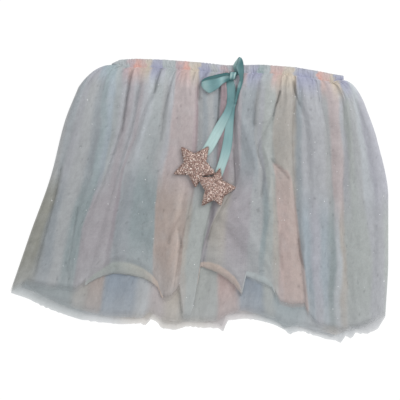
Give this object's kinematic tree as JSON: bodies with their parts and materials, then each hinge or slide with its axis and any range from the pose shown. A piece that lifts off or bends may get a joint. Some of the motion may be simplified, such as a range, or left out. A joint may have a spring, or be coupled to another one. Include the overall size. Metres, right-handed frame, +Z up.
{
  "type": "tulle skirt",
  "caption": "Child's dress-up skirt laid flat: two gathered layers of striped tulle on an elastic waist, with a ribbon bow that ends in two padded stars.",
  "frame": {"origin": "middle of the laid skirt's outline, on the surface that it lies on", "axes": "+X across the skirt, to the right seen from above with the waist at the top; +Y from the hem to the waist; +Z up from the surface"},
  "size_m": [0.396, 0.3, 0.0234],
  "materials": {
    "striped_tulle": "fine net with soft pastel stripes down the cloth",
    "under_tulle": "fine net, plain to the touch, paler stripes",
    "gathered_casing": "the same net, ruched over elastic",
    "satin_ribbon": "satin",
    "glitter_fabric": "coarse glitter"
  },
  "bodies": {
    "root": {"waistband": "gathered_casing", "outer_front": "striped_tulle", "outer_back": "striped_tulle", "under_front": "under_tulle", "under_back": "under_tulle", "bow_knot": "satin_ribbon", "bow_loop_left": "satin_ribbon", "bow_loop_right": "satin_ribbon", "tail_left": "satin_ribbon", "tail_right": "satin_ribbon", "star_left": "glitter_fabric", "star_right": "glitter_fabric"}
  },
  "joints": []
}
